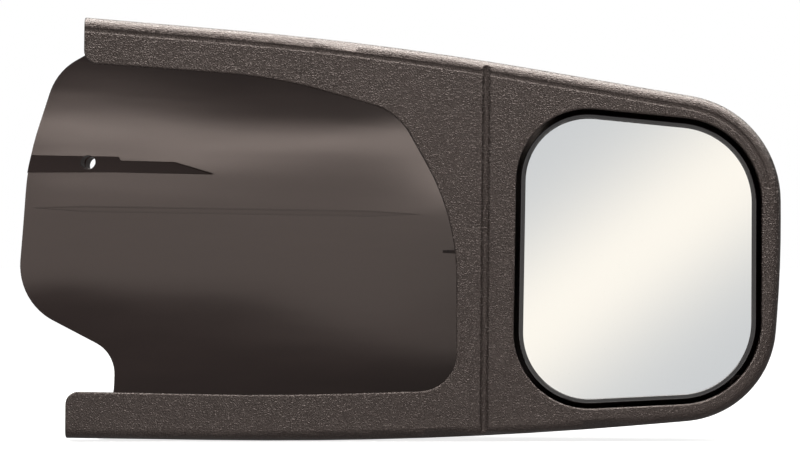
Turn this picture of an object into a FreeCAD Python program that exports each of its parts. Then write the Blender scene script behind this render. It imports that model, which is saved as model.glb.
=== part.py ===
"""Slip-on towing mirror for a truck, right-hand side.

A hollow sleeve slips over the truck's own mirror head from its outboard end. A window in the front bezel
leaves the truck's glass in view, and the sleeve carries a second, adjustable mirror further outboard.

Row frame, in millimetres: +X points outboard, +Z up, and -Y towards the driver, so the glass faces -Y.
The origin is the centre of the sleeve's open mouth. Depths are measured from the bezel's flat face.
"""

import FreeCAD
import Part

import math
import os

from FreeCAD import Vector

# Housing form
FRONT_Y = -49.0          # plane of the bezel's flat face; the mouth is 98 deep and the origin at its middle
MOUTH_DEPTH = 98.0       # outside depth at X = 0
BACK_SLOPE = 0.12        # the back comes forward by this much for each mm outboard
CROWN_DROP = 0.055       # the crown's middle line drops by this much for each mm outboard
CROWN_R = 300.0          # the back is crowned from top to bottom
BACK_ROUND = 30.0        # rounding from the sides into the back
FRONT_ROUND = 5.5        # rounding from the face into the sides
WALL = 3.0
FAR = 150.0              # past every side of the housing
INBOARD_X = -76.0        # the form is built to here and then trimmed to its free edges
SPLIT = 20.0             # depth of the joint between the bezel and the rear shell
SPLIT_GAP = 0.15

# Front outline: corners (x, z, rounding) of the upper, outboard and lower sides
OUTLINE = [(168.2, 102.6, 2000.0), (389.4, 64.6, 59.0), (389.7, -21.0, 650.0),
           (383.3, -103.2, 54.0), (191.9, -119.1, 2400.0)]
OUTLINE_TOP_LEFT_Z = 123.4
TOP_SLOPE = 0.0852
BOTTOM_SLOPE = 0.01456
OUTLINE_BOTTOM_LEFT_Z = -115.2

# Window for the truck's own glass, open to the mouth: corners (x, z, rounding)
WINDOW = [(4.2, 91.2, 7.5), (110.7, 83.2, 280.0), (177.3, 64.1, 34.0), (210.0, 5.8, 130.0),
          (210.0, -89.6, 21.0), (111.0, -92.6, 1500.0), (-6.0, -90.3, 7.0)]
UPPER_FLANGE_X = 5.0     # inboard end of the upper flange, at its top
LOWER_FLANGE_X = -6.6    # inboard end of the lower flange, at its bottom

# Free edge of the rear shell: corners (x, z, rounding), with the notch for the truck's mirror arm last
FREE_EDGE = [(5.0, 103.0, 4.0), (-19.0, 90.5, 34.0), (-37.0, 40.0, 150.0), (-43.5, -42.5, 36.0),
             (14.6, -72.0, 20.0), (14.4, -92.0, 30.0)]
ARM_NOTCH_FOOT_X = 5.0

# Aperture for the added glass: corners (x, z, rounding)
APERTURE = [(243.7, 69.9, 40.0), (379.0, 56.5, 47.0), (378.4, -95.3, 45.5), (240.8, -102.0, 42.0)]
APERTURE_LIP_DEPTH = 8.0
APERTURE_LIP_WALL = 2.0
EDGE_ROUND = 0.8

# Lines in the bezel's face
GROOVE_TOP = (226.6, 88.0)
GROOVE_BOTTOM = (225.0, -118.0)
GROOVE_WIDTH = 4.6
GROOVE_DEPTH = 1.5
BEAD_INSET = 5.8         # shallow line that follows the upper edge
BEAD_WIDTH = 2.2
BEAD_DEPTH = 0.45
BEAD_END_Z = 22.0

# Joint tongue on the bezel, inside the rear shell
TONGUE_GAP = 0.15
TONGUE_WALL = 1.3
TONGUE_REACH = 3.0
TONGUE_X = (20.0, 330.0)
GUIDE_NOTCHES = [217.5]  # where the bulkhead's guides pass the tongue
GUIDE_NOTCH = 4.0

# Case screws, driven from behind through wells in the rear shell into bosses on the bezel
CASE_SCREWS = [(226.0, 83.0), (303.0, 72.0), (371.0, 49.3), (367.5, -86.4), (303.0, -103.7), (226.0, -107.3)]
CASE_BOSS_R = 3.0
CASE_WELL_R = 3.6
CASE_WELL_WALL = 1.0
CASE_SEAT = 26.0         # depth of the face under the screw heads
CASE_SEAT_THICK = 4.0
SCREW_SHANK_R = 1.5
SCREW_PILOT_R = 1.55
SCREW_CLEAR_R = 1.9
SCREW_HEAD_R = 3.0
SCREW_HEAD_H = 2.2
SCREW_RECESS_R = 1.3
SCREW_RECESS_DEPTH = 1.2
CASE_SCREW_LENGTH = 18.0

# Bulkhead between the sleeve and the mirror head
BULKHEAD_X = 217.5
BULKHEAD_THICK = 2.5
BULKHEAD_INSET = 4.6
GUIDE_THICK = 1.8
GUIDE_GAP = 0.2
GUIDE_INSET = 9.0
GUSSET = 12.0
GUSSET_Z = -14.2
GUSSET_THICK = 1.6

# Slanted hole for the tie-down strap in the rear shell, with a flat pad and a ramp beside it
STRAP_HOLE = (-1.7, 38.1)
STRAP_HOLE_R = 4.2
STRAP_HOLE_LENGTH = 10.0
STRAP_BOSS_R = 7.4
STRAP_BOSS_START = 5.0   # along the hole, inside the wall
STRAP_AXIS = (0.41, 0.90, -0.15)
PAD_LEAN = 12.0          # the pad leans back towards its upper edge
PAD_LOW_Z = 32.2
PAD_HIGH_Z = 47.4
PAD_END_X = 13.9
PAD_INBOARD_X = -60.0
PAD_PROUD = 3.0          # how far the pad's lower edge stands inside the shell
RAMP_END = (70.6, 30.8)
RAMP_SHOULDER = (48.6, 38.0)
RAMP_FOOT = (17.2, 38.9)

# Stiffening rib between two narrow grooves along the inside of the rear shell
RIB_ENDS = ((-32.5, 11.8), (189.0, 7.9))
RIB_TAPER = 30.0         # length over which the ends run out to a point
RIB_HALF = 0.9
RIB_GROOVE = 0.9
RIB_GROOVE_DEPTH = 1.3
RIB_GROOVE_BEYOND = 2.0  # length of groove past each end of the rib
RIB_PROUD = 0.5

# Adjustable mirror: a glass bonded into a rimmed holder
PIVOT = (308.8, -18.2)
PIVOT_DEPTH = 18.0
RIM_GAP = 2.6            # between the aperture and the holder
RIM_DEPTH = 4.0          # depth of the rim's front
RIM_WALL = 1.8
RIM_LIP = 1.0
RIM_ROUND = 0.7
GLASS_DEPTH = 5.1
GLASS_THICK = 2.0
GLASS_GAP = 0.1
ADHESIVE_INSET = 9.0
ADHESIVE_THICK = 0.9
HOLDER_FLOOR = 1.8

# Swivel plate clipped behind the holder, with a hollow dome
SWIVEL_R = 40.0
SWIVEL_THICK = 2.0
HOOK_WIDTH = 12.0
HOOK_WALL = 1.8
HOOK_OVER = 1.6
HOOK_GAP = 0.1
DOME_R = 27.0
DOME_WALL = 2.5
DOME_END = 31.0          # depth of the dome's rear edge

# Fixed base with the bowl that the dome turns in
BOWL_GAP = 0.15
BOWL_R = 31.5
BOWL_FRONT = 21.0
BASE_DEPTH = 37.0
BASE_THICK = 4.0
BASE_SIZE = (86.0, 64.0)
BASE_CORNER = 9.0
BASE_SCREWS = (36.0, 24.0)
BASE_SCREW_LENGTH = 12.0
BASE_BOSS_R = 4.2
RING_DEPTH = 24.0
RING_WIDTH = 2.4
RING_THICK = 1.6
RING_GAP = 0.05

# Cross joint: a fork on the base, a block with pins, and two ears on the swivel plate
BLOCK = 9.0
PIN_R = 2.0
PIN_CLEAR = 0.05
EAR_GAP = 0.3
EAR_THICK = 4.4
EAR_HALF = 3.6
FORK_PAD_R = 14.0
FORK_PAD_THICK = 3.0
FORK_SCREW_X = 9.5
FORK_SCREW_LENGTH = 9.0
FORK_SOCKET_THICK = 4.0
CLIP_R = 3.5
CLIP_THICK = 0.8
CLIP_SLOT = 2.6

# Soft pads that keep the sleeve from rubbing on the truck's mirror
PAD_THICK = 2.5
PAD_WIDTH = 10.0
UPPER_PAD = ((16.0, 103.6), (170.0, 90.2))
LOWER_PAD = ((2.0, -104.6), (196.0, -105.2))
STOP_PAD_HEIGHT = 120.0
STOP_PAD_DEPTHS = (14.0, 54.0)


def at(depth):
    """Y of a plane at this depth behind the bezel's face."""
    return FRONT_Y + depth


def back_depth(x, z=None):
    """Outside depth of the housing's back at x, on the crown's middle line or at height z."""
    depth = MOUTH_DEPTH - BACK_SLOPE * x
    if z is None:
        return depth
    rise = z + CROWN_DROP * x
    return depth - CROWN_R + math.sqrt(CROWN_R ** 2 - rise ** 2)


def rounded_wire(corners, inset=0.0, y=0.0):
    """Closed wire in a plane of constant Y, from corners (x, z, rounding) in clockwise order as the driver sees
    them. Every side moves in by inset, and every corner keeps its centre of rounding."""
    n = len(corners)
    sides = []
    for i in range(n):
        (ax, az, _), (bx, bz, _) = corners[i], corners[(i + 1) % n]
        length = math.hypot(bx - ax, bz - az)
        dx, dz = (bx - ax) / length, (bz - az) / length
        sides.append((ax + dz * inset, az - dx * inset, dx, dz))
    points = []
    for i in range(n):
        px, pz, pdx, pdz = sides[i - 1]
        qx, qz, qdx, qdz = sides[i]
        cross = pdx * qdz - pdz * qdx
        t = ((qx - px) * qdz - (qz - pz) * qdx) / cross
        x, z = px + t * pdx, pz + t * pdz
        turn = math.atan2(cross, pdx * qdx + pdz * qdz)
        outer = cross < 0
        radius = corners[i][2]
        if radius > 0:
            radius += -inset if outer else inset
        points.append((x, z, pdx, pdz, qdx, qdz, abs(turn), radius))
    edges = []
    starts, ends = [], []
    for x, z, pdx, pdz, qdx, qdz, turn, radius in points:
        cut = radius * math.tan(turn / 2) if radius > 0 else 0.0
        starts.append(Vector(x - pdx * cut, y, z - pdz * cut))
        ends.append(Vector(x + qdx * cut, y, z + qdz * cut))
        if radius > 0:
            mx, mz = qdx - pdx, qdz - pdz
            length = math.hypot(mx, mz)
            bulge = radius / math.cos(turn / 2) - radius
            middle = Vector(x + mx / length * bulge, y, z + mz / length * bulge)
            edges.append(Part.Arc(starts[-1], middle, ends[-1]).toShape())
        else:
            edges.append(None)
    ordered = []
    for i in range(n):
        if edges[i] is not None:
            ordered.append(edges[i])
        if (starts[(i + 1) % n] - ends[i]).Length > 1e-6:
            ordered.append(Part.LineSegment(ends[i], starts[(i + 1) % n]).toShape())
    return Part.Wire(ordered)


def plate(corners, depth, thick, inset=0.0):
    """Solid plate with a rounded outline, from depth to depth + thick."""
    face = Part.Face(rounded_wire(corners, inset, at(depth)))
    return face.extrude(Vector(0, thick, 0))


def ring(corners, depth, thick, outer_inset, inner_inset):
    """Solid frame between two insets of one outline."""
    hole = plate(corners, depth - 1, thick + 2, inner_inset)
    return plate(corners, depth, thick, outer_inset).cut(hole)


def slab_x(x0, x1):
    """Everything between two planes of constant X."""
    return Part.makeBox(x1 - x0, 4 * FAR, 4 * FAR, Vector(x0, -2 * FAR, -2 * FAR))


def slab_depth(d0, d1):
    """Everything between two depths."""
    return Part.makeBox(8 * FAR, d1 - d0, 4 * FAR, Vector(-2 * FAR, at(d0), -2 * FAR))


def rod(x, z, d0, d1, radius):
    """Round bar along Y between two depths."""
    return Part.makeCylinder(radius, d1 - d0, Vector(x, at(d0), z), Vector(0, 1, 0))


def block(x, z, d0, d1, width, height):
    """Rectangular bar along Y between two depths, centred on (x, z)."""
    return Part.makeBox(width, d1 - d0, height, Vector(x - width / 2, at(d0), z - height / 2))


def fuse(shapes):
    """One solid from shapes that overlap."""
    whole = shapes[0].multiFuse(shapes[1:]) if len(shapes) > 1 else shapes[0]
    return whole.removeSplitter()


def housing_form(inset):
    """The housing's closed form, taken in by inset on every outside face."""
    left = INBOARD_X - 5 * inset
    top = OUTLINE_TOP_LEFT_Z + (INBOARD_X - left) * TOP_SLOPE
    bottom = OUTLINE_BOTTOM_LEFT_Z + (INBOARD_X - left) * BOTTOM_SLOPE
    corners = [(left, top, 0.0)] + OUTLINE + [(left, bottom, 0.0)]
    prism = plate(corners, inset, 2 * FAR, inset)
    along = Vector(1, -BACK_SLOPE, -CROWN_DROP)
    along.normalize()
    middle = Vector(0, at(MOUTH_DEPTH) - CROWN_R * math.hypot(1, BACK_SLOPE), 0)
    start = middle - along * 4 * FAR
    crown = Part.makeCylinder(CROWN_R - inset, 12 * FAR, start, along)
    crown.rotate(start, along, 90)
    form = prism.common(crown)
    back = max(form.Faces, key=lambda face: face.CenterOfMass.y)
    form = form.makeFillet(BACK_ROUND - inset, rim_edges(back, left + inset))
    if inset >= FRONT_ROUND:
        return form
    front = min(form.Faces, key=lambda face: face.CenterOfMass.y)
    return form.makeFillet(FRONT_ROUND - inset, rim_edges(front, left + inset))


def rim_edges(face, left):
    """Edges of a face except the one at the inboard end."""
    return [edge for edge in face.Edges if edge.BoundBox.XMax > left + 10]


def polygon_prism(points, direction):
    """Solid swept from a flat polygon."""
    outline = Part.makePolygon(points + [points[0]])
    return Part.Face(outline).extrude(direction)


def strip(ends, depth, width, thick):
    """Flat strip with its length between two (x, z) ends."""
    (ax, az), (bx, bz) = ends
    half = width / 2
    points = [Vector(ax, at(depth), az - half), Vector(bx, at(depth), bz - half),
              Vector(bx, at(depth), bz + half), Vector(ax, at(depth), az + half)]
    return polygon_prism(points, Vector(0, thick, 0))


def sleeve_cut(depth, thick):
    """What the face loses for the window and the open inboard end."""
    corners = [(-FAR, FAR, 0.0), (UPPER_FLANGE_X, FAR, 0.0)]
    corners += WINDOW
    corners += [(LOWER_FLANGE_X, -FAR, 0.0), (-FAR, -FAR, 0.0)]
    return plate(corners, depth, thick)


def free_edge_cut():
    """What the rear shell loses at its inboard end."""
    corners = [(-FAR, FAR, 0.0), (UPPER_FLANGE_X, FAR, 0.0)]
    corners += FREE_EDGE
    corners += [(ARM_NOTCH_FOOT_X, -FAR, 0.0), (-FAR, -FAR, 0.0)]
    return plate(corners, 0.0, 2 * FAR)


def round_front_edges(shape, radius, inside):
    """Round the edges that lie in the face's plane and within the (x0, x1, z0, z1) range given."""
    x0, x1, z0, z1 = inside
    edges = []
    for edge in shape.Edges:
        box = edge.BoundBox
        flat = abs(box.YMin - at(0)) < 1e-4 and abs(box.YMax - at(0)) < 1e-4
        if flat and box.XMin > x0 and box.XMax < x1 and box.ZMin > z0 and box.ZMax < z1:
            edges.append(edge)
    return shape.makeFillet(radius, edges)


def groove_cutter():
    """Round-bottomed groove from under the bead line to the lower edge."""
    half = GROOVE_WIDTH / 2
    radius = (half ** 2 + GROOVE_DEPTH ** 2) / (2 * GROOVE_DEPTH)
    depth = GROOVE_DEPTH - radius
    top = Vector(GROOVE_TOP[0], at(depth), GROOVE_TOP[1])
    bottom = Vector(GROOVE_BOTTOM[0], at(depth), GROOVE_BOTTOM[1])
    bar = Part.makeCylinder(radius, (bottom - top).Length, top, bottom - top)
    return fuse([bar, Part.makeSphere(radius, top)])


def bead_cutter():
    """Shallow line inside the upper edge, ending at the outboard corner."""
    left = INBOARD_X
    corners = [(left, OUTLINE_TOP_LEFT_Z, 0.0)] + OUTLINE + [(left, OUTLINE_BOTTOM_LEFT_Z, 0.0)]
    line = ring(corners, -1.0, 1.0 + BEAD_DEPTH, BEAD_INSET, BEAD_INSET + BEAD_WIDTH)
    upper = Part.makeBox(4 * FAR, 4 * FAR, FAR, Vector(left + 20, -2 * FAR, BEAD_END_Z))
    return line.common(upper)


def make_front_bezel(outer, inner):
    """Face moulding: flat face, side wall, window, aperture, bosses and joint tongue."""
    wall = outer.cut(inner).common(slab_depth(-1.0, SPLIT))
    body = wall.cut(sleeve_cut(-2.0, FAR))
    lip = ring(APERTURE, WALL - 1, APERTURE_LIP_DEPTH - WALL + 1, -APERTURE_LIP_WALL, 0.0)
    body = fuse([body, lip])
    body = body.cut(plate(APERTURE, -2.0, APERTURE_LIP_DEPTH + 4))
    body = round_front_edges(body, EDGE_ROUND, (LOWER_FLANGE_X - 1, 380.0, -103.0, 97.0))
    body = body.cut(groove_cutter())
    body = body.cut(bead_cutter())
    left = INBOARD_X
    corners = [(left, OUTLINE_TOP_LEFT_Z, 0.0)] + OUTLINE + [(left, OUTLINE_BOTTOM_LEFT_Z, 0.0)]
    start = SPLIT - TONGUE_REACH
    tongue = ring(corners, start, 2 * TONGUE_REACH, WALL + TONGUE_GAP, WALL + TONGUE_GAP + TONGUE_WALL)
    root = ring(corners, start, TONGUE_REACH - 0.5, WALL - 0.5, WALL + TONGUE_GAP + TONGUE_WALL)
    tongue = fuse([tongue, root]).common(slab_x(TONGUE_X[0], TONGUE_X[1]))
    for x in GUIDE_NOTCHES:
        tongue = tongue.cut(slab_x(x - GUIDE_NOTCH, x + GUIDE_NOTCH))
    for x, z in CASE_SCREWS:
        tongue = tongue.cut(rod(x, z, 0.0, SPLIT + 10, CASE_WELL_R + CASE_WELL_WALL + 0.4))
    boss_end = CASE_SEAT - CASE_SEAT_THICK - SPLIT_GAP
    bosses = [rod(x, z, WALL - 1, boss_end, CASE_BOSS_R) for x, z in CASE_SCREWS]
    body = fuse([body, tongue] + bosses)
    for x, z in CASE_SCREWS:
        body = body.cut(rod(x, z, WALL + 2, boss_end + 1, SCREW_PILOT_R))
    return body


def inner_depth(x, z):
    """Depth of the rear shell's inside face near its middle."""
    return back_depth(x, z) - WALL


def strap_plane():
    """Point on the pad's lower edge below the hole, and the direction that faces out of the pad."""
    x = STRAP_HOLE[0]
    point = Vector(x, at(inner_depth(x, PAD_LOW_Z) - PAD_PROUD), PAD_LOW_Z)
    lean = math.radians(PAD_LEAN)
    normal = Vector(-BACK_SLOPE * math.cos(lean), -math.cos(lean), math.sin(lean))
    normal.normalize()
    return point, normal


def strap_pad():
    """Flat pad around the strap hole with a ramp that runs out to a point."""
    plan = [(PAD_INBOARD_X, PAD_LOW_Z), (PAD_END_X, PAD_LOW_Z), RAMP_END, RAMP_SHOULDER, RAMP_FOOT,
            (PAD_END_X, PAD_HIGH_Z), (PAD_INBOARD_X, PAD_HIGH_Z)]
    prism = polygon_prism([Vector(x, at(0), z) for x, z in plan], Vector(0, FAR, 0))
    point, normal = strap_plane()
    solid = Part.makeBox(4 * FAR, 4 * FAR, FAR, Vector(-2 * FAR, -2 * FAR, -FAR))
    turn = FreeCAD.Placement(point, FreeCAD.Rotation(Vector(0, 0, 1), normal))
    solid.Placement = turn.multiply(solid.Placement)
    return prism.common(solid)


def strap_bar(start, end, radius):
    """Round bar along the strap hole, from start to end behind the pad's face."""
    point, normal = strap_plane()
    axis = Vector(*STRAP_AXIS)
    axis.normalize()
    x, z = STRAP_HOLE
    y = point.y - ((x - point.x) * normal.x + (z - point.z) * normal.z) / normal.y
    return Part.makeCylinder(radius, end - start, Vector(x, y, z) + axis * start, axis)


def rib_ends(beyond):
    """Both ends of the rib's centre line, run on past the rib's own ends, and its slope."""
    (ax, az), (bx, bz) = RIB_ENDS
    slope = (bz - az) / (bx - ax)
    return (ax - beyond, az - beyond * slope), (bx + beyond, bz + beyond * slope), slope


def rib_plan(half, beyond):
    """Prism over the rib's outline, with both ends run out to a point."""
    (ax, az), (bx, bz), slope = rib_ends(beyond)
    cx, cz = ax + RIB_TAPER, az + RIB_TAPER * slope
    dx, dz = bx - RIB_TAPER, bz - RIB_TAPER * slope
    plan = [(ax, az), (cx, cz - half), (dx, dz - half), (bx, bz), (dx, dz + half), (cx, cz + half)]
    return polygon_prism([Vector(x, at(0), z) for x, z in plan], Vector(0, FAR, 0))


def rib_layer(front, back, beyond):
    """Sloping layer along the rib, between two distances in front of the shell's inside face."""
    ends = rib_ends(beyond)[:2]
    near = [Vector(x, at(inner_depth(x, z) - front), -FAR) for x, z in ends]
    far = [Vector(x, at(inner_depth(x, z) - back), -FAR) for x, z in reversed(ends)]
    return polygon_prism(near + far, Vector(0, 0, 2 * FAR))


def make_rear_shell(outer, inner, guide_form):
    """Deep back moulding: free edge, strap pad, rib, bulkhead guides, wells and bosses."""
    shell = outer.cut(inner)
    extras = []
    guides = inner.cut(guide_form)
    half = BULKHEAD_THICK / 2 + GUIDE_GAP
    for x0, x1 in ((-half - GUIDE_THICK, -half), (half, half + GUIDE_THICK)):
        extras.append(guides.common(slab_x(BULKHEAD_X + x0, BULKHEAD_X + x1)))
    extras.append(strap_pad())
    extras.append(rib_plan(RIB_HALF, 0.0).common(rib_layer(RIB_PROUD, -WALL / 2, 0.0)))
    corner_x = BULKHEAD_X - half - GUIDE_THICK / 2
    corner_depth = inner_depth(corner_x, GUSSET_Z) + WALL / 2
    gusset = [Vector(corner_x, at(corner_depth), GUSSET_Z), Vector(corner_x - GUSSET, at(corner_depth), GUSSET_Z),
              Vector(corner_x, at(corner_depth - GUSSET), GUSSET_Z)]
    extras.append(polygon_prism(gusset, Vector(0, 0, GUSSET_THICK)))
    seat = CASE_SEAT - CASE_SEAT_THICK
    for x, z in CASE_SCREWS:
        extras.append(rod(x, z, seat, FAR, CASE_WELL_R + CASE_WELL_WALL))
    base_back = BASE_DEPTH + BASE_THICK
    for x, z in base_screw_places():
        extras.append(rod(x, z, base_back, FAR, BASE_BOSS_R))
    extras = [extra.common(outer) for extra in extras]
    grooves = rib_plan(RIB_HALF + RIB_GROOVE, RIB_GROOVE_BEYOND).cut(rib_plan(RIB_HALF, 0.0))
    shell = shell.cut(grooves.common(rib_layer(FAR / 4, -RIB_GROOVE_DEPTH, RIB_GROOVE_BEYOND)))
    extras.append(strap_bar(STRAP_BOSS_START, STRAP_HOLE_LENGTH, STRAP_BOSS_R))
    body = fuse([shell] + extras)
    body = body.common(slab_depth(SPLIT + SPLIT_GAP, FAR))
    body = body.cut(free_edge_cut())
    for x, z in CASE_SCREWS:
        body = body.cut(rod(x, z, CASE_SEAT, FAR, CASE_WELL_R))
        body = body.cut(rod(x, z, SPLIT, FAR, SCREW_CLEAR_R))
    for x, z in base_screw_places():
        body = body.cut(rod(x, z, base_back - 1, BASE_DEPTH + BASE_SCREW_LENGTH + 1, SCREW_PILOT_R))
    return body.cut(strap_bar(-FAR / 4, FAR / 4, STRAP_HOLE_R))


def base_screw_places():
    """(x, z) of the four screws that hold the pivot base."""
    dx, dz = BASE_SCREWS
    return [(PIVOT[0] + sx * dx, PIVOT[1] + sz * dz) for sx in (-1, 1) for sz in (-1, 1)]


def make_bulkhead(form):
    """Flat panel that closes off the mirror head."""
    half = BULKHEAD_THICK / 2
    panel = form.common(slab_x(BULKHEAD_X - half, BULKHEAD_X + half))
    return panel.common(slab_depth(WALL + 0.4, FAR))


def screw_back(x, z, seat_depth, length):
    """Pan-head screw along Y with its head on the far side of seat_depth."""
    shank = rod(x, z, seat_depth - length, seat_depth + 0.5, SCREW_SHANK_R)
    head = rod(x, z, seat_depth, seat_depth + SCREW_HEAD_H, SCREW_HEAD_R)
    screw = fuse([shank, head])
    recess_start = seat_depth + SCREW_HEAD_H - SCREW_RECESS_DEPTH
    return screw.cut(block(x, z, recess_start, recess_start + 5, 2 * SCREW_RECESS_R, 0.8)).cut(
        block(x, z, recess_start, recess_start + 5, 0.8, 2 * SCREW_RECESS_R))


def screw_front(x, z, seat_depth, length):
    """Pan-head screw along Y with its head on the near side of seat_depth."""
    screw = screw_back(0.0, 0.0, seat_depth, length)
    mirrored = screw.mirror(Vector(0, at(seat_depth), 0), Vector(0, 1, 0))
    return mirrored.translated(Vector(x, 0, z))


def make_case_screws():
    return Part.makeCompound([screw_back(x, z, CASE_SEAT, CASE_SCREW_LENGTH) for x, z in CASE_SCREWS])


def make_upper_flange_pad():
    return strip(UPPER_PAD, WALL, PAD_WIDTH, PAD_THICK)


def make_lower_flange_pad():
    return strip(LOWER_PAD, WALL, PAD_WIDTH, PAD_THICK)


def make_stop_pad():
    """Soft stop on the bulkhead for the end of the truck's mirror."""
    d0, d1 = STOP_PAD_DEPTHS
    x = BULKHEAD_X - BULKHEAD_THICK / 2 - PAD_THICK
    return Part.makeBox(PAD_THICK, d1 - d0, STOP_PAD_HEIGHT, Vector(x, at(d0), -STOP_PAD_HEIGHT / 2 - 10))


def pivot_sphere(radius):
    """Ball about the mirror's pivot."""
    return Part.makeSphere(radius, Vector(PIVOT[0], at(PIVOT_DEPTH), PIVOT[1]))


def pivot_rod(d0, d1, radius):
    """Round bar along Y through the pivot."""
    return rod(PIVOT[0], PIVOT[1], d0, d1, radius)


def cross_pin(axis, near, far, radius):
    """Round bar through the pivot along axis, between two distances from it."""
    start = Vector(PIVOT[0], at(PIVOT_DEPTH), PIVOT[1]) + axis * near
    return Part.makeCylinder(radius, far - near, start, axis)


def ear(axis, side, d0, d1):
    """One arm of a fork, standing beside the pivot along axis, with a pin hole."""
    near = BLOCK / 2 + EAR_GAP
    offset = side * (near + EAR_THICK / 2)
    x, z = PIVOT[0] + axis.x * offset, PIVOT[1] + axis.z * offset
    if axis.x:
        arm = block(x, z, d0, d1, EAR_THICK, 2 * EAR_HALF)
    else:
        arm = block(x, z, d0, d1, 2 * EAR_HALF, EAR_THICK)
    return arm


def make_pivot_base():
    """Fixed plate with the bowl and the socket for the fork's screws."""
    px, pz = PIVOT
    w, h = BASE_SIZE[0] / 2, BASE_SIZE[1] / 2
    corners = [(px - w, pz + h, BASE_CORNER), (px + w, pz + h, BASE_CORNER),
               (px + w, pz - h, BASE_CORNER), (px - w, pz - h, BASE_CORNER)]
    back = BASE_DEPTH + BASE_THICK
    base = plate(corners, BASE_DEPTH, BASE_THICK)
    bowl = pivot_rod(BOWL_FRONT, BASE_DEPTH + 1, BOWL_R)
    bowl = bowl.cut(pivot_sphere(DOME_R + BOWL_GAP).common(slab_depth(0.0, BASE_DEPTH)))
    bowl = bowl.cut(pivot_rod(0.0, PIVOT_DEPTH, DOME_R + BOWL_GAP))
    socket = pivot_rod(BASE_DEPTH, back + FORK_SOCKET_THICK, FORK_PAD_R)
    body = fuse([base, bowl, socket])
    groove = pivot_rod(RING_DEPTH - RING_WIDTH / 2, RING_DEPTH + RING_WIDTH / 2, ring_outer() + RING_GAP)
    body = body.cut(groove)
    for x, z in base_screw_places():
        body = body.cut(rod(x, z, BASE_DEPTH - 1, back + 1, SCREW_CLEAR_R))
    for side in (-1, 1):
        body = body.cut(rod(px + side * FORK_SCREW_X, pz, BASE_DEPTH - 1, BASE_DEPTH + FORK_SCREW_LENGTH, SCREW_PILOT_R))
    return body


def ring_outer():
    """Outside radius of the friction ring."""
    return DOME_R + RING_THICK


def make_friction_ring():
    """Ring let into the bowl that rubs on the dome and holds the mirror where it is put."""
    half = RING_WIDTH / 2 - RING_GAP
    body = pivot_rod(RING_DEPTH - half, RING_DEPTH + half, ring_outer())
    return body.cut(pivot_sphere(DOME_R + RING_GAP))


def make_base_screws():
    return Part.makeCompound([screw_front(x, z, BASE_DEPTH, BASE_SCREW_LENGTH) for x, z in base_screw_places()])


def make_pivot_fork():
    """Fork on the base whose two arms hold the upright pin."""
    up = Vector(0, 0, 1)
    pad_front = BASE_DEPTH - FORK_PAD_THICK
    tip = PIVOT_DEPTH - EAR_HALF
    pieces = [pivot_rod(pad_front, BASE_DEPTH, FORK_PAD_R)]
    pieces += [ear(up, side, PIVOT_DEPTH, pad_front + 1) for side in (-1, 1)]
    near = BLOCK / 2 + EAR_GAP
    pieces += [cross_pin(up * side, near, near + EAR_THICK, EAR_HALF) for side in (-1, 1)]
    body = fuse(pieces)
    body = body.cut(cross_pin(up, -FAR / 2, FAR / 2, PIN_R + PIN_CLEAR))
    for side in (-1, 1):
        body = body.cut(rod(PIVOT[0] + side * FORK_SCREW_X, PIVOT[1], tip, BASE_DEPTH + 1, SCREW_CLEAR_R))
    return body


def make_fork_screws():
    seat = BASE_DEPTH - FORK_PAD_THICK
    return Part.makeCompound([screw_front(PIVOT[0] + side * FORK_SCREW_X, PIVOT[1], seat, FORK_SCREW_LENGTH)
                              for side in (-1, 1)])


def pin_reach():
    """Half length of the upright pin, past the fork's arms and the clips."""
    return BLOCK / 2 + EAR_GAP + EAR_THICK + CLIP_THICK + 1.2


def make_pan_pin():
    """Upright pin through the fork and the cross block."""
    return cross_pin(Vector(0, 0, 1), -pin_reach(), pin_reach(), PIN_R)


def make_pan_pin_clips():
    """Two spring clips that keep the upright pin in the fork."""
    clips = []
    near = BLOCK / 2 + EAR_GAP + EAR_THICK + 0.1
    for side in (-1, 1):
        axis = Vector(0, 0, side)
        disc = cross_pin(axis, near, near + CLIP_THICK, CLIP_R).cut(cross_pin(axis, near - 1, near + 3, PIN_R))
        z = PIVOT[1] + side * (near + CLIP_THICK / 2)
        slot = block(PIVOT[0], z, PIVOT_DEPTH - 2 * CLIP_R, PIVOT_DEPTH, CLIP_SLOT, 4 * CLIP_THICK)
        clips.append(disc.cut(slot))
    return Part.makeCompound(clips)


def make_pivot_cross():
    """Block that carries both pins."""
    half = BLOCK / 2
    body = block(PIVOT[0], PIVOT[1], PIVOT_DEPTH - half, PIVOT_DEPTH + half, BLOCK, BLOCK)
    body = body.makeChamfer(0.6, body.Edges)
    body = body.cut(cross_pin(Vector(0, 0, 1), -BLOCK, BLOCK, PIN_R + PIN_CLEAR))
    return body.cut(cross_pin(Vector(1, 0, 0), -BLOCK, BLOCK, PIN_R + PIN_CLEAR))


def make_tilt_pins():
    """Two stub pins that stand out of the block to either side."""
    near = PIN_R + 0.4
    far = BLOCK / 2 + EAR_GAP + EAR_THICK - 0.2
    return Part.makeCompound([cross_pin(Vector(side, 0, 0), near, far, PIN_R) for side in (-1, 1)])


def holder_back():
    """Depth of the rear face of the glass holder."""
    return GLASS_DEPTH + GLASS_THICK + ADHESIVE_THICK + HOLDER_FLOOR


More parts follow.
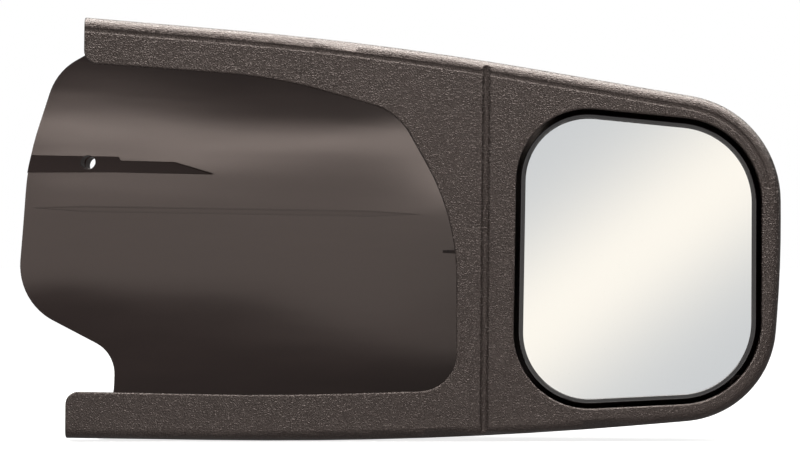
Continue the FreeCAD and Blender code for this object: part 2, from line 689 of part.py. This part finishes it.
def make_swivel_plate():
    """Disc behind the holder with the hollow dome and the ears for the stub pins."""
    front = holder_back()
    back = front + SWIVEL_THICK
    disc = pivot_rod(front, back, SWIVEL_R)
    dome = pivot_sphere(DOME_R).cut(pivot_sphere(DOME_R - DOME_WALL)).common(slab_depth(back - 1, DOME_END))
    across = Vector(1, 0, 0)
    ears = [ear(across, side, back - 1, PIVOT_DEPTH) for side in (-1, 1)]
    near = BLOCK / 2 + EAR_GAP
    ends = [cross_pin(across * side, near, near + EAR_THICK, EAR_HALF) for side in (-1, 1)]
    body = fuse([disc, dome] + ears + ends)
    return body.cut(cross_pin(across, -FAR / 4, FAR / 4, PIN_R + PIN_CLEAR).common(pivot_sphere(DOME_R - DOME_WALL - 1)))


def make_glass_holder():
    """Tray with a thin rim round the glass and hooks for the swivel plate."""
    back = holder_back()
    floor = plate(APERTURE, back - HOLDER_FLOOR, HOLDER_FLOOR, RIM_GAP)
    wall = ring(APERTURE, RIM_DEPTH, back - RIM_DEPTH, RIM_GAP, RIM_GAP + RIM_WALL)
    lip = ring(APERTURE, RIM_DEPTH, GLASS_DEPTH - GLASS_GAP - RIM_DEPTH, RIM_GAP, RIM_GAP + RIM_WALL + RIM_LIP)
    body = fuse([floor, wall, lip])
    edges = []
    for edge in body.Edges:
        box = edge.BoundBox
        if abs(box.YMin - at(RIM_DEPTH)) < 1e-4 and abs(box.YMax - at(RIM_DEPTH)) < 1e-4:
            edges.append(edge)
    body = body.makeFillet((GLASS_DEPTH - GLASS_GAP - RIM_DEPTH) * RIM_ROUND, edges)
    hooks = []
    outside = SWIVEL_R + HOOK_GAP + HOOK_WALL
    top = back + SWIVEL_THICK + HOOK_GAP
    for side, width, height in ((Vector(1, 0, 0), outside, HOOK_WIDTH), (Vector(-1, 0, 0), outside, HOOK_WIDTH),
                                (Vector(0, 0, 1), HOOK_WIDTH, outside), (Vector(0, 0, -1), HOOK_WIDTH, outside)):
        x = PIVOT[0] + side.x * outside / 2
        z = PIVOT[1] + side.z * outside / 2
        sector = block(x, z, back - 0.5, top + HOOK_WALL, width, height)
        ring_wall = pivot_rod(back - 0.5, top + HOOK_WALL, outside).cut(pivot_rod(0.0, top, SWIVEL_R + HOOK_GAP))
        ring_wall = ring_wall.cut(pivot_rod(0.0, 2 * FAR, SWIVEL_R - HOOK_OVER))
        hooks.append(sector.common(ring_wall))
    return fuse([body] + hooks)


def make_adhesive_pad():
    """Foam tape that bonds the glass into the holder."""
    return plate(APERTURE, GLASS_DEPTH + GLASS_THICK, ADHESIVE_THICK, RIM_GAP + ADHESIVE_INSET)


def make_mirror_glass():
    return plate(APERTURE, GLASS_DEPTH, GLASS_THICK, RIM_GAP + RIM_WALL + GLASS_GAP)


def save(name, shape):
    shape.exportStep(os.path.join("parts", name + ".step"))


def main():
    os.makedirs("parts", exist_ok=True)
    outer = housing_form(0.0)
    inner = housing_form(WALL)
    save("front_bezel", make_front_bezel(outer, inner))
    save("rear_shell", make_rear_shell(outer, inner, housing_form(GUIDE_INSET)))
    save("bulkhead", make_bulkhead(housing_form(BULKHEAD_INSET)))
    save("case_screws", make_case_screws())
    save("upper_flange_pad", make_upper_flange_pad())
    save("lower_flange_pad", make_lower_flange_pad())
    save("stop_pad", make_stop_pad())
    save("pivot_base", make_pivot_base())
    save("base_screws", make_base_screws())
    save("friction_ring", make_friction_ring())
    save("pivot_fork", make_pivot_fork())
    save("fork_screws", make_fork_screws())
    save("pan_pin", make_pan_pin())
    save("pan_pin_clips", make_pan_pin_clips())
    save("pivot_cross", make_pivot_cross())
    save("tilt_pins", make_tilt_pins())
    save("swivel_plate", make_swivel_plate())
    save("glass_holder", make_glass_holder())
    save("adhesive_pad", make_adhesive_pad())
    save("mirror_glass", make_mirror_glass())


if __name__ == "__main__":
    main()
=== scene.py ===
"""Slip-on towing mirror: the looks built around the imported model."""

import math

import bmesh
import bpy
from bpy.props import FloatProperty, FloatVectorProperty, PointerProperty
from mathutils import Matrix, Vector


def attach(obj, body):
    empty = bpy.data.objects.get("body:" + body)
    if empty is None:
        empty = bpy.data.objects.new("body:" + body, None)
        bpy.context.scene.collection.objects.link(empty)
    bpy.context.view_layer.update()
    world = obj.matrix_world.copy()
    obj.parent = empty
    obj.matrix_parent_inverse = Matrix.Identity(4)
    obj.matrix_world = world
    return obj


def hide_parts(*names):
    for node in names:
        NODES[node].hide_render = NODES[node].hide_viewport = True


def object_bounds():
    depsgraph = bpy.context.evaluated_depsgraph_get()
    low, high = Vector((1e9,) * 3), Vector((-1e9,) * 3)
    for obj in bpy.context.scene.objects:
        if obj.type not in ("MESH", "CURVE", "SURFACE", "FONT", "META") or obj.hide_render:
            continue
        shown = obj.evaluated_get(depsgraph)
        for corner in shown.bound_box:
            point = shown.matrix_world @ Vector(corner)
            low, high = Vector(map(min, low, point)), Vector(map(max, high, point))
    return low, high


bl_info = {
    "name": "Towing Mirror",
    "version": (1, 0, 0),
    "blender": (4, 5, 0),
    "location": "View3D > Sidebar > Towing Mirror",
    "description": "Dresses the slip-on towing mirror and sets its studio",
    "category": "Object",
}

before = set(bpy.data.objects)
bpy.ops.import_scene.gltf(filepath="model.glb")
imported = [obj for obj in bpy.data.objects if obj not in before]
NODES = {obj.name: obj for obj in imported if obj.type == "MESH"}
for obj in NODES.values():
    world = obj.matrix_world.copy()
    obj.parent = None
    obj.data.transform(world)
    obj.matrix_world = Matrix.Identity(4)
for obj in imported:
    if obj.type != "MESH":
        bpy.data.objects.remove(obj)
CAD_BOX = [list(corner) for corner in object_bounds()]

# Finishes, in metres where they are lengths
WARM_GLOSS = (1.0, 0.86, 0.81, 1.0)
SHELL_MIDDLE = (0.0, -0.015, -0.005)
FOAM_EDGE = 0.0006

# Camera: the point of the front face at the middle of the view
VIEW_MIDDLE_X = 0.1788
VIEW_MIDDLE_Z = -0.0022

# Floor, in metres
FLOOR_HALF = 9.0
FLOOR_GAP = 0.0005
FLOOR_GLOW = 0.78

# Front card: how far it stands in front of the housing, and its edges in the part's frame
CARD_DISTANCE = 2.45
CARD_LEFT = -1.5
CARD_RIGHT = 2.3
CARD_LOW = -0.95
CARD_HIGH = 0.75
BAND_MIDDLE = (0.477, -0.025)
BAND_SPREAD = 0.073
PATCH_HALF = 0.26

# Level cards: near and far edges are measured from the housing's front, forward for the strip
# and the roof and backward for the edge card
LEVEL_LEFT = -1.2
LEVEL_RIGHT = 1.4
STRIP_BELOW = 0.5
STRIP_NEAR = 1.7
STRIP_FAR = 2.6
ROOF_HEIGHT = 1.0
ROOF_FAR = 0.5
EDGE_NEAR = 0.15
EDGE_FAR = 0.9

SOFT_WARM = (1.0, 0.975, 0.94)
CARD_WARM = (1.0, 0.97, 0.93, 1.0)


# ---------------------------------------------------------------- shader maths

class Value:
    """A number socket that takes part in ordinary arithmetic."""

    def __init__(self, shader, socket):
        self.shader = shader
        self.socket = socket

    def math(self, operation, *others):
        return self.shader.math(operation, self, *others)

    def __add__(self, other):
        return self.math("ADD", other)

    def __radd__(self, other):
        return self.shader.math("ADD", other, self)

    def __sub__(self, other):
        return self.math("SUBTRACT", other)

    def __rsub__(self, other):
        return self.shader.math("SUBTRACT", other, self)

    def __mul__(self, other):
        return self.math("MULTIPLY", other)

    def __rmul__(self, other):
        return self.shader.math("MULTIPLY", other, self)

    def clamp(self):
        return self.math("MAXIMUM", 0.0).math("MINIMUM", 1.0)


class Shader:
    """One material's node tree, with a Principled shader at its end."""

    def __init__(self, name, **fixed):
        self.material = bpy.data.materials.new(name)
        self.material.use_nodes = True
        self.tree = self.material.node_tree
        self.principled = self.tree.nodes["Principled BSDF"]
        for socket, value in fixed.items():
            self.principled.inputs[socket.replace("_", " ")].default_value = value

    def node(self, kind, settings, values):
        made = self.tree.nodes.new(kind)
        for key, setting in settings.items():
            setattr(made, key, setting)
        for key, value in values.items():
            self.feed(made.inputs[key], value)
        return made

    def feed(self, socket, value):
        if isinstance(value, Value):
            self.tree.links.new(value.socket, socket)
        elif isinstance(value, bpy.types.NodeSocket):
            self.tree.links.new(value, socket)
        else:
            socket.default_value = value

    def math(self, operation, *operands):
        made = self.node("ShaderNodeMath", {"operation": operation}, dict(enumerate(operands)))
        return Value(self, made.outputs[0])

    def place(self):
        """Object coordinates, which are the part's own frame in metres."""
        return self.node("ShaderNodeTexCoord", {}, {}).outputs["Object"]

    def parts(self, vector):
        split = self.node("ShaderNodeSeparateXYZ", {}, {0: vector})
        return [Value(self, output) for output in split.outputs]

    def vector(self, operation, *operands):
        made = self.node("ShaderNodeVectorMath", {"operation": operation}, dict(enumerate(operands)))
        return made.outputs[0]

    def scaled(self, vector, factors):
        return self.vector("MULTIPLY", vector, factors)

    def noise(self, place, size, detail=2.0):
        made = self.node("ShaderNodeTexNoise", {}, {"Vector": place, "Scale": 1.0 / size, "Detail": detail})
        return Value(self, made.outputs["Fac"])

    def cells(self, place, size, feature="DISTANCE_TO_EDGE"):
        made = self.node("ShaderNodeTexVoronoi", {"feature": feature}, {"Vector": place, "Scale": 1.0 / size})
        return Value(self, made.outputs["Distance"])

    def smooth_step(self, value, low, high):
        made = self.node("ShaderNodeMapRange", {"interpolation_type": "SMOOTHSTEP"},
                         {"Value": value, "From Min": low, "From Max": high})
        return Value(self, made.outputs["Result"])

    def mix(self, factor, first, second):
        made = self.node("ShaderNodeMix", {"data_type": "RGBA"}, {0: factor, 6: first, 7: second})
        return made.outputs[2]

    def bump(self, height, distance, under=None):
        values = {"Height": height, "Distance": distance}
        if under is not None:
            values["Normal"] = under
        return self.node("ShaderNodeBump", {}, values).outputs["Normal"]

    def eased(self, radius):
        """Surface direction averaged over a small radius, so edges catch the light softly."""
        made = self.node("ShaderNodeBevel", {"samples": 8}, {"Radius": radius})
        return made.outputs["Normal"]

    def finish(self, **links):
        for socket, value in links.items():
            self.feed(self.principled.inputs[socket.replace("_", " ")], value)
        return self.material


def shade(colour, factor):
    return (colour[0] * factor, colour[1] * factor, colour[2] * factor, 1.0)


# ---------------------------------------------------------------- finishes

def leather_grain(shader, place, size):
    """Height of a moulded leather grain: swollen cells of uneven size with creases between them."""
    wobble = shader.node("ShaderNodeTexNoise", {}, {"Vector": place, "Scale": 0.7 / size, "Detail": 2.0})
    shift = shader.vector("SUBTRACT", wobble.outputs["Color"], (0.5, 0.5, 0.5))
    shift = shader.scaled(shift, (size * 1.2, size * 1.2, size * 1.2))
    moved = shader.vector("ADD", place, shift)
    creases = shader.smooth_step(shader.cells(moved, size), 0.0, 0.42)
    pebbles = shader.smooth_step(shader.cells(moved, size * 0.5), 0.0, 0.45)
    swell = shader.noise(place, size * 1.5, detail=3.0)
    return creases * 0.5 + pebbles * 0.25 + swell * 0.6


def grained_plastic(finish):
    """Leather-grained moulding whose edges catch the light softly."""
    shader = Shader("grained_plastic", Specular_Tint=WARM_GLOSS)
    place = shader.place()
    height = leather_grain(shader, place, finish.grain_size)
    blotch = shader.noise(place, 0.03, detail=3.0)
    fine = shader.noise(place, 0.00035, detail=1.0)
    # Colour follows the grain's height: painted shade darkens the creases and painted highlight lightens the
    # swollen crowns; the blotches and fine speckle are random tone.
    tone = (height * 0.6 + blotch * 0.3 + fine * 0.15).clamp()
    colour = shader.mix(tone, shade(finish.bezel_colour, 0.55), shade(finish.bezel_colour, 1.4))
    rough = 0.27 - height * 0.08 + fine * 0.05
    normal = shader.bump(height, finish.grain_depth, under=shader.eased(finish.edge_softness))
    return shader.finish(Base_Color=colour, Roughness=rough, Normal=normal)


def shell_plastic(finish):
    """Smooth and glossy on the inside, grained on the outside."""
    shader = Shader("shell_plastic", Specular_Tint=WARM_GLOSS)
    coordinates = shader.node("ShaderNodeTexCoord", {}, {})
    place = coordinates.outputs["Object"]
    spoke = shader.vector("SUBTRACT", shader.scaled(place, (0.0, 1.0, 1.0)), SHELL_MIDDLE)
    facing = shader.node("ShaderNodeVectorMath", {"operation": "DOT_PRODUCT"},
                         {0: spoke, 1: coordinates.outputs["Normal"]})
    outside = shader.math("GREATER_THAN", Value(shader, facing.outputs["Value"]), 0.0)
    height = leather_grain(shader, place, finish.grain_size)
    streak = shader.noise(shader.scaled(place, (0.15, 1.0, 1.0)), 0.012, detail=2.0)
    sink = shader.noise(shader.scaled(place, (0.6, 1.0, 1.0)), 0.07, detail=0.0)
    fine = shader.noise(place, 0.0006, detail=2.0)
    # Outside, the colour follows the grain's height: painted shade in the creases, painted highlight on the
    # crowns. Inside, the streaks and fine speckle are random tone.
    tone = outside * height + (1 - outside) * (streak * 0.6 + fine * 0.4)
    colour = shader.mix(tone.clamp(), shade(finish.shell_colour, 0.7), shade(finish.shell_colour, 1.3))
    rough = outside * (0.5 - height * 0.16) + (1 - outside) * (0.14 + streak * 0.06 + fine * 0.04)
    smooth = sink * finish.sink_depth + streak * 0.00003 + fine * 0.00001
    relief = outside * height * finish.grain_depth + (1 - outside) * smooth
    return shader.finish(Base_Color=colour, Roughness=rough, Normal=shader.bump(relief, 1.0))


def gloss_plastic(finish):
    shader = Shader("rim_plastic", Coat_Weight=0.3)
    place = shader.place()
    ripple = shader.noise(place, 0.004, detail=3.0)
    fine = shader.noise(place, 0.0005, detail=2.0)
    colour = shader.mix(ripple, shade(finish.rim_colour, 0.7), shade(finish.rim_colour, 1.4))
    return shader.finish(Base_Color=colour, Roughness=0.16 + fine * 0.12, Normal=shader.bump(ripple, 0.00008))


def inner_plastic(finish):
    shader = Shader("inner_plastic")
    place = shader.place()
    cloud = shader.noise(place, 0.01, detail=4.0)
    fine = shader.noise(place, 0.0004, detail=2.0)
    colour = shader.mix(cloud, shade(finish.inner_colour, 0.7), shade(finish.inner_colour, 1.35))
    return shader.finish(Base_Color=colour, Roughness=0.5 + fine * 0.15, Normal=shader.bump(fine, 0.00004))


def silvered_glass(finish):
    """Second-surface mirror: bright silvering under clear glass, with the faintest smears."""
    shader = Shader("mirror", Metallic=1.0)
    place = shader.place()
    smear = shader.noise(shader.scaled(place, (1.0, 1.0, 0.35)), 0.03, detail=4.0)
    dust = shader.noise(place, 0.0009, detail=1.0)
    haze = shader.smooth_step(dust, 0.72, 0.8)
    colour = shader.mix(haze, shade(finish.glass_colour, 1.0), shade(finish.glass_colour, 0.94))
    return shader.finish(Base_Color=colour, Roughness=0.012 + smear * 0.02 + haze * 0.02)


def plated_steel(finish, name, tint):
    shader = Shader(name, Metallic=1.0)
    place = shader.place()
    cloud = shader.noise(place, 0.002, detail=4.0)
    fine = shader.noise(shader.scaled(place, (1.0, 1.0, 3.0)), 0.0003, detail=2.0)
    colour = shader.mix(cloud, shade(tint, 0.8), shade(tint, 1.1))
    return shader.finish(Base_Color=colour, Roughness=0.28 + cloud * 0.15 + fine * 0.08,
                         Normal=shader.bump(fine, 0.00002))


def closed_cell_foam(finish):
    shader = Shader("pad_foam", Specular_IOR_Level=0.3)
    place = shader.place()
    pores = shader.smooth_step(shader.cells(place, 0.0007, feature="F1"), 0.1, 0.5)
    cloud = shader.noise(place, 0.006, detail=3.0)
    tone = pores * 0.6 + cloud * 0.4
    colour = shader.mix(tone, shade(finish.foam_colour, 1.5), shade(finish.foam_colour, 0.7))
    return shader.finish(Base_Color=colour, Roughness=0.85 + cloud * 0.1,
                         Normal=shader.bump(1 - pores, 0.00015))


def friction_rubber(finish):
    shader = Shader("friction_rubber")
    place = shader.place()
    fine = shader.noise(place, 0.0005, detail=3.0)
    colour = shader.mix(fine, shade(finish.inner_colour, 0.6), shade(finish.inner_colour, 1.1))
    return shader.finish(Base_Color=colour, Roughness=0.75 + fine * 0.2, Normal=shader.bump(fine, 0.00005))


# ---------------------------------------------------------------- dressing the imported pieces

def dress(name, material):
    """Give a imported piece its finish."""
    node = NODES[name]
    node.data.materials.clear()
    node.data.materials.append(material)
    return node


def foam_strip(name, node, body, material):
    """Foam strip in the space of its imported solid, with soft edges and a slightly uneven face."""
    mesh = bpy.data.meshes.new(name)
    build = bmesh.new()
    build.from_mesh(NODES[node].data)
    bmesh.ops.remove_doubles(build, verts=build.verts, dist=1e-6)
    bmesh.ops.dissolve_limit(build, angle_limit=0.02, verts=build.verts, edges=build.edges)
    bmesh.ops.bevel(build, geom=list(build.edges), offset=FOAM_EDGE, segments=3, profile=0.5, affect="EDGES")
    build.to_mesh(mesh)
    build.free()
    piece = bpy.data.objects.new(name, mesh)
    bpy.context.scene.collection.objects.link(piece)
    mesh.materials.clear()
    mesh.materials.append(material)
    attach(piece, body)
    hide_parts(node)
    return piece


# ---------------------------------------------------------------- settings

class FinishSettings(bpy.types.PropertyGroup):
    bezel_colour: FloatVectorProperty(name="Bezel", description="Colour of the grained bezel",
                                      subtype="COLOR", size=3, min=0.0, max=1.0,
                                      default=(0.03, 0.0212, 0.0188))
    shell_colour: FloatVectorProperty(name="Shell", description="Colour of the rear shell", subtype="COLOR",
                                      size=3, min=0.0, max=1.0, default=(0.024, 0.015, 0.014))
    rim_colour: FloatVectorProperty(name="Rim", description="Colour of the glass holder", subtype="COLOR",
                                    size=3, min=0.0, max=1.0, default=(0.012, 0.009, 0.011))
    inner_colour: FloatVectorProperty(name="Inner parts", description="Colour of the hidden mouldings",
                                      subtype="COLOR", size=3, min=0.0, max=1.0, default=(0.02, 0.019, 0.02))
    foam_colour: FloatVectorProperty(name="Foam", description="Colour of the foam pads", subtype="COLOR",
                                     size=3, min=0.0, max=1.0, default=(0.011, 0.011, 0.012))
    steel_colour: FloatVectorProperty(name="Steel", description="Colour of the plated steel", subtype="COLOR",
                                      size=3, min=0.0, max=1.0, default=(0.56, 0.56, 0.58))
    glass_colour: FloatVectorProperty(name="Silvering", description="Colour of the mirror's silvering",
                                      subtype="COLOR", size=3, min=0.0, max=1.0, default=(0.93, 0.935, 0.945))
    grain_size: FloatProperty(name="Grain size", description="Width of one cell of the leather grain",
                              default=0.0013, min=0.0005, max=0.01, unit="LENGTH", precision=4)
    grain_depth: FloatProperty(name="Grain depth", description="Height of the leather grain",
                               default=0.00038, min=0.0, max=0.002, unit="LENGTH", precision=5)
    edge_softness: FloatProperty(name="Edge softness", description="How widely the edges ease into the faces",
                                 default=0.0012, min=0.0, max=0.01, unit="LENGTH", precision=4)
    sink_depth: FloatProperty(name="Sink depth", description="Height of the slow waves inside the rear shell",
                              default=0.004, min=0.0, max=0.02, unit="LENGTH", precision=4)


class StudioSettings(bpy.types.PropertyGroup):
    camera_distance: FloatProperty(name="Camera distance", description="From the bezel's face to the camera",
                                   default=1.92, min=0.3, unit="LENGTH")
    view_width: FloatProperty(name="View width", description="Width seen at the bezel's face", default=0.4416,
                              min=0.1, unit="LENGTH", precision=4)
    top_power: FloatProperty(name="Top light", description="Power of the softbox overhead", default=22.0,
                             min=0.0, unit="POWER")
    front_strength: FloatProperty(name="Front card", description="Brightness of the card behind the camera",
                                  default=1.75, min=0.0)
    strip_strength: FloatProperty(name="Low strip", description="Brightness of the strip low in front",
                                  default=7.0, min=0.0)
    roof_strength: FloatProperty(name="Roof card", description="Brightness of the card that lights the grain",
                                 default=15.0, min=0.0)
    edge_strength: FloatProperty(name="Edge card",
                                 description="Brightness of the card that lines the upper edge",
                                 default=14.0, min=0.0)
    backdrop: FloatProperty(name="Backdrop", description="Brightness of the white backdrop",
                            default=1.0, min=0.0)
    sky: FloatProperty(name="Surroundings", description="Light from the rest of the studio",
                       default=0.3, min=0.0)


# ---------------------------------------------------------------- operators

class TOWMIRROR_OT_front_bezel(bpy.types.Operator):
    """Grain the front bezel"""
    bl_idname = "towmirror.front_bezel"
    bl_label = "Front Bezel"

    def execute(self, context):
        dress("front_bezel", grained_plastic(context.scene.towmirror_finish))
        return {"FINISHED"}


class TOWMIRROR_OT_rear_shell(bpy.types.Operator):
    """Finish the rear shell, glossy inside and grained outside"""
    bl_idname = "towmirror.rear_shell"
    bl_label = "Rear Shell"

    def execute(self, context):
        dress("rear_shell", shell_plastic(context.scene.towmirror_finish))
        return {"FINISHED"}


class TOWMIRROR_OT_foam_pads(bpy.types.Operator):
    """Make the foam pads inside the sleeve"""
    bl_idname = "towmirror.foam_pads"
    bl_label = "Foam Pads"

    def execute(self, context):
        foam = closed_cell_foam(context.scene.towmirror_finish)
        foam_strip("upper_flange_foam", "upper_flange_pad", "housing", foam)
        foam_strip("lower_flange_foam", "lower_flange_pad", "housing", foam)
        foam_strip("stop_foam", "stop_pad", "housing", foam)
        foam_strip("adhesive_foam", "adhesive_pad", "mirror", foam)
        return {"FINISHED"}


class TOWMIRROR_OT_pivot(bpy.types.Operator):
    """Finish the pivot's mouldings and steel parts"""
    bl_idname = "towmirror.pivot"
    bl_label = "Pivot"

    def execute(self, context):
        finish = context.scene.towmirror_finish
        plastic = inner_plastic(finish)
        for name in ("bulkhead", "pivot_base", "swivel_plate"):
            dress(name, plastic)
        dress("friction_ring", friction_rubber(finish))
        steel = plated_steel(finish, "fork_steel", finish.steel_colour)
        for name in ("pivot_fork", "pivot_cross"):
            dress(name, steel)
        pins = plated_steel(finish, "screw_steel", finish.steel_colour)
        for name in ("pan_pin", "pan_pin_clips", "tilt_pins", "case_screws", "base_screws", "fork_screws"):
            dress(name, pins)
        return {"FINISHED"}


class TOWMIRROR_OT_mirror(bpy.types.Operator):
    """Finish the glass and its holder"""
    bl_idname = "towmirror.mirror"
    bl_label = "Mirror Glass"

    def execute(self, context):
        finish = context.scene.towmirror_finish
        dress("mirror_glass", silvered_glass(finish))
        dress("glass_holder", gloss_plastic(finish))
        return {"FINISHED"}


def add_area_light(name, place, target, width, height, power, colour):
    """Soft rectangular light aimed at a point."""
    data = bpy.data.lights.new(name, "AREA")
    data.shape = "RECTANGLE"
    data.size = width
    data.size_y = height
    data.energy = power
    data.color = colour
    light = bpy.data.objects.new(name, data)
    light.location = place
    light.rotation_euler = (Vector(target) - Vector(place)).to_track_quat("-Z", "Y").to_euler()
    bpy.context.scene.collection.objects.link(light)


def flat_sheet(name, corners, material):
    """Flat four-sided sheet that belongs to the studio."""
    mesh = bpy.data.meshes.new(name)
    build = bmesh.new()
    build.faces.new([build.verts.new(corner) for corner in corners])
    bmesh.ops.subdivide_edges(build, edges=build.edges, cuts=7, use_grid_fill=True)
    build.to_mesh(mesh)
    build.free()
    sheet = bpy.data.objects.new(name, mesh)
    bpy.context.scene.collection.objects.link(sheet)
    mesh.materials.append(material)
    return sheet


def glowing_card(name, strength):
    """Unlit black card whose glow is set by its material."""
    card = Shader(name, Base_Color=(0.0, 0.0, 0.0, 1.0), Specular_IOR_Level=0.0)
    card.principled.inputs["Emission Strength"].default_value = strength
    return card


def front_card(studio, middle):
    """Card behind the camera: a soft warm band slants across the patch that the added mirror shows."""
    card = glowing_card("front_card", 1.0)
    x, y, z = card.parts(card.place())
    across = (x - middle[0]) * -0.6 + (z - middle[1]) * 0.8
    band = card.math("EXPONENT", (across * across) * (-0.5 / BAND_SPREAD ** 2))
    patch = card.mix(band, (0.635, 0.652, 0.660, 1.0), (1.05, 1.0, 0.9, 1.0))
    away_x = card.math("ABSOLUTE", x - middle[0])
    away_z = card.math("ABSOLUTE", z - middle[1])
    away = card.smooth_step(away_x.math("MAXIMUM", away_z), PATCH_HALF, PATCH_HALF * 2.5)
    plain = studio.front_strength
    glow = card.mix(away, patch, (plain, plain * 0.975, plain * 0.94, 1.0))
    return card.finish(Emission_Color=glow)


def gloss_card(name, strength, near, far, height):
    """Level card that shows only in the gloss of the pieces."""
    glow = glowing_card(name, strength)
    glow.principled.inputs["Emission Color"].default_value = CARD_WARM
    corners = [(LEVEL_LEFT, far, height), (LEVEL_RIGHT, far, height),
               (LEVEL_RIGHT, near, height), (LEVEL_LEFT, near, height)]
    card = flat_sheet(name, corners, glow.material)
    card.visible_camera = False
    card.visible_diffuse = False
    return card


class TOWMIRROR_OT_stage(bpy.types.Operator):
    """Build the floor, the studio lights and the camera"""
    bl_idname = "towmirror.stage"
    bl_label = "Stage"

    def execute(self, context):
        scene = context.scene
        studio = scene.towmirror_studio
        low = Vector(CAD_BOX[0])
        centre = Vector((VIEW_MIDDLE_X, low.y, VIEW_MIDDLE_Z))

        world = bpy.data.worlds.new("studio_surroundings")
        world.use_nodes = True
        tree = world.node_tree
        background = tree.nodes["Background"]
        background.inputs["Color"].default_value = (1.0, 1.0, 1.0, 1.0)
        rays = tree.nodes.new("ShaderNodeLightPath")
        level = tree.nodes.new("ShaderNodeMix")
        tree.links.new(rays.outputs["Is Camera Ray"], level.inputs[0])
        level.inputs[2].default_value = studio.sky
        level.inputs[3].default_value = studio.backdrop
        tree.links.new(level.outputs[0], background.inputs["Strength"])
        scene.world = world
        scene.view_settings.view_transform = "Standard"

        paper = Shader("floor_paper", Roughness=0.9)
        paper.principled.inputs["Emission Strength"].default_value = FLOOR_GLOW
        paper.principled.inputs["Emission Color"].default_value = (1.0, 1.0, 1.0, 1.0)
        grain = paper.noise(paper.place(), 0.01, detail=3.0)
        paper.finish(Base_Color=paper.mix(grain, (0.9, 0.9, 0.9, 1.0), (0.93, 0.93, 0.93, 1.0)))
        ground = low.z - FLOOR_GAP
        corners = [(-FLOOR_HALF, -FLOOR_HALF, ground), (FLOOR_HALF, -FLOOR_HALF, ground),
                   (FLOOR_HALF, FLOOR_HALF, ground), (-FLOOR_HALF, FLOOR_HALF, ground)]
        floor = flat_sheet("floor", corners, paper.material)
        floor.visible_glossy = False
        floor.visible_diffuse = False
        floor.visible_shadow = False

        back = low.y - CARD_DISTANCE
        corners = [(CARD_LEFT, back, CARD_LOW), (CARD_RIGHT, back, CARD_LOW),
                   (CARD_RIGHT, back, CARD_HIGH), (CARD_LEFT, back, CARD_HIGH)]
        card = flat_sheet("front_card", corners, front_card(studio, BAND_MIDDLE))
        card.visible_camera = False
        gloss_card("low_strip", studio.strip_strength, low.y - STRIP_NEAR, low.y - STRIP_FAR,
                   ground - STRIP_BELOW)
        gloss_card("roof_card", studio.roof_strength, low.y, low.y - ROOF_FAR, ROOF_HEIGHT)
        gloss_card("edge_card", studio.edge_strength, low.y + EDGE_NEAR, low.y + EDGE_FAR, ROOF_HEIGHT)
        add_area_light("top_softbox", centre + Vector((0.0, -0.4, 1.3)), centre, 1.6, 0.6, studio.top_power,
                       SOFT_WARM)

        camera_data = bpy.data.cameras.new("camera")
        camera_data.sensor_width = 36.0
        camera_data.lens = 36.0 * studio.camera_distance / studio.view_width
        camera_data.clip_end = 100.0
        camera = bpy.data.objects.new("camera", camera_data)
        camera.location = centre - Vector((0.0, studio.camera_distance, 0.0))
        camera.rotation_euler = (math.radians(90.0), 0.0, 0.0)
        scene.collection.objects.link(camera)
        scene.camera = camera
        return {"FINISHED"}


class TOWMIRROR_PT_panel(bpy.types.Panel):
    """Lists the towing mirror's pieces and settings"""
    bl_idname = "TOWMIRROR_PT_panel"
    bl_label = "Towing Mirror"
    bl_space_type = "VIEW_3D"
    bl_region_type = "UI"
    bl_category = "Towing Mirror"

    def draw(self, context):
        column = self.layout.column()
        for step in STEPS:
            column.operator(step.bl_idname)
        for group in (context.scene.towmirror_finish, context.scene.towmirror_studio):
            for name in group.__annotations__:
                column.prop(group, name)


STEPS = (TOWMIRROR_OT_front_bezel, TOWMIRROR_OT_rear_shell, TOWMIRROR_OT_foam_pads, TOWMIRROR_OT_pivot,
         TOWMIRROR_OT_mirror, TOWMIRROR_OT_stage)
CLASSES = (FinishSettings, StudioSettings) + STEPS + (TOWMIRROR_PT_panel,)


def register():
    for cls in CLASSES:
        bpy.utils.register_class(cls)
    bpy.types.Scene.towmirror_finish = PointerProperty(type=FinishSettings)
    bpy.types.Scene.towmirror_studio = PointerProperty(type=StudioSettings)


def unregister():
    del bpy.types.Scene.towmirror_studio
    del bpy.types.Scene.towmirror_finish
    for cls in reversed(CLASSES):
        bpy.utils.unregister_class(cls)


def main():
    register()
    for name in ("Cube", "Light", "Camera"):
        if name in bpy.data.objects:
            bpy.data.objects.remove(bpy.data.objects[name])
    bpy.ops.towmirror.front_bezel()
    bpy.ops.towmirror.rear_shell()
    bpy.ops.towmirror.foam_pads()
    bpy.ops.towmirror.pivot()
    bpy.ops.towmirror.mirror()
    bpy.ops.towmirror.stage()


if __name__ == "__main__":
    main()
